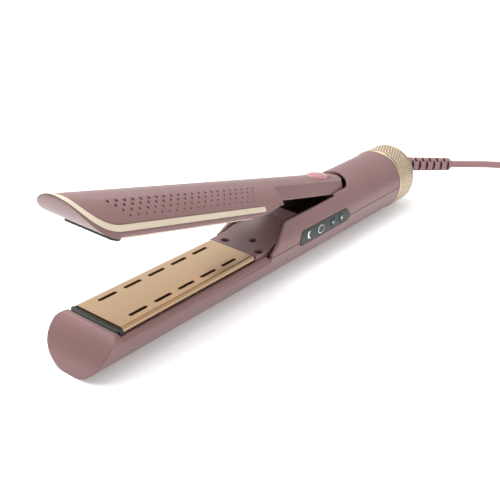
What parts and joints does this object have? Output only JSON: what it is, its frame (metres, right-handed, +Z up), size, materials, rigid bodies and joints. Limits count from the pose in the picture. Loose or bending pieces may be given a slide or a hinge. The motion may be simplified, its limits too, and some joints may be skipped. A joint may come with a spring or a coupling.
{
  "type": "flat iron",
  "caption": "Hot-air flat iron: round body with a fan at the cord end, slotted plates, a hinged upper arm with vents, a side control panel, and a swivel cord with a plug.",
  "frame": {"origin": "centre of the underside of the iron's box, without its cord", "axes": "+X along the body from the jaw tips to the cord end, +Z up from the flat underside, -Y towards the control panel"},
  "size_m": [0.6169, 0.1007, 0.0887],
  "materials": {
    "shell": "soft matte mauve lacquer",
    "inner_cover": "dark mauve moulding",
    "champagne": "satin champagne metal",
    "plate": "champagne-gold coated plate",
    "seal": "black heat-resistant plastic",
    "carrier": "pale heat-resistant resin",
    "steel": "steel",
    "silicone": "red silicone",
    "lens": "grey-green gloss lens",
    "lock": "pink gloss slide",
    "board": "circuit board",
    "dark_plastic": "dark moulded plastic",
    "filter": "fine metal mesh",
    "cord": "mauve flexible cord",
    "tie": "black strap",
    "plug_plastic": "mauve moulded plug"
  },
  "bodies": {
    "root": {"lower_housing": "shell", "rear_shell": "shell", "neck_cover": "inner_cover", "neck_screws": "steel", "lower_seal": "seal", "lower_cushions": "silicone", "hinge_bracket": "steel", "hinge_pin": "steel", "hinge_spring": "steel", "control_panel": "lens", "display_board": "board", "main_board": "board", "fan_duct": "dark_plastic", "fan_motor": "steel", "dust_filter": "filter", "intake_ring": "champagne", "rear_cap": "inner_cover", "housing_screws": "steel", "power_cord": "cord", "cord_coil": "cord", "cord_tie": "tie", "plug_body": "plug_plastic", "plug_pins": "steel"},
    "lower_float": {"lower_plate": "plate", "lower_carrier": "carrier", "lower_heater": "steel"},
    "arm": {"arm_cover": "shell", "arm_frame": "shell", "arm_trim": "champagne", "upper_seal": "seal", "upper_cushions": "silicone"},
    "upper_float": {"upper_plate": "plate", "upper_carrier": "carrier", "upper_heater": "steel", "thermal_fuse": "steel"},
    "lock": {"lock_slide": "lock"},
    "minus_key": {"minus_button": "lens"},
    "plus_key": {"plus_button": "lens"},
    "impeller": {"fan_impeller": "dark_plastic"},
    "swivel": {"swivel_ball": "inner_cover", "strain_relief": "cord"}
  },
  "joints": [
    {"name": "arm_hinge", "type": "hinge", "parent": "root", "child": "arm", "pos_m": [0.06416, 0, 0.0303], "axis": [0, -1, 0], "range_deg": [0, 12.15], "stiffness_Nm_per_rad": 0.6, "springref_deg": -34.38},
    {"name": "lower_plate_float", "type": "slide", "parent": "root", "child": "lower_float", "axis": [0.0059, 0, -1], "range_m": [0, 0.0008], "stiffness_N_per_m": 4000, "springref_m": -0.0006, "deforming": ["lower_cushions"]},
    {"name": "upper_plate_float", "type": "slide", "parent": "arm", "child": "upper_float", "axis": [0.2072, 0, 0.9783], "range_m": [0, 0.0008], "stiffness_N_per_m": 4000, "springref_m": -0.0006, "deforming": ["upper_cushions"]},
    {"name": "lock_travel", "type": "slide", "parent": "arm", "child": "lock", "axis": [0.9783, 0, -0.2072], "range_m": [0, 0.003]},
    {"name": "minus_press", "type": "slide", "parent": "root", "child": "minus_key", "axis": [0, 1, 0], "range_m": [0, 0.0004], "stiffness_N_per_m": 900, "springref_m": -0.0004},
    {"name": "plus_press", "type": "slide", "parent": "root", "child": "plus_key", "axis": [0, 1, 0], "range_m": [0, 0.0004], "stiffness_N_per_m": 900, "springref_m": -0.0004},
    {"name": "fan_spin", "type": "hinge", "parent": "root", "child": "impeller", "pos_m": [0.10422, 0, 0.01993], "axis": [1, 0, 0.0059], "continuous": true},
    {"name": "cord_swivel", "type": "hinge", "parent": "root", "child": "swivel", "pos_m": [0.15919, 0, 0.02576], "axis": [0.7431, -0.6691, 0], "continuous": true}
  ]
}
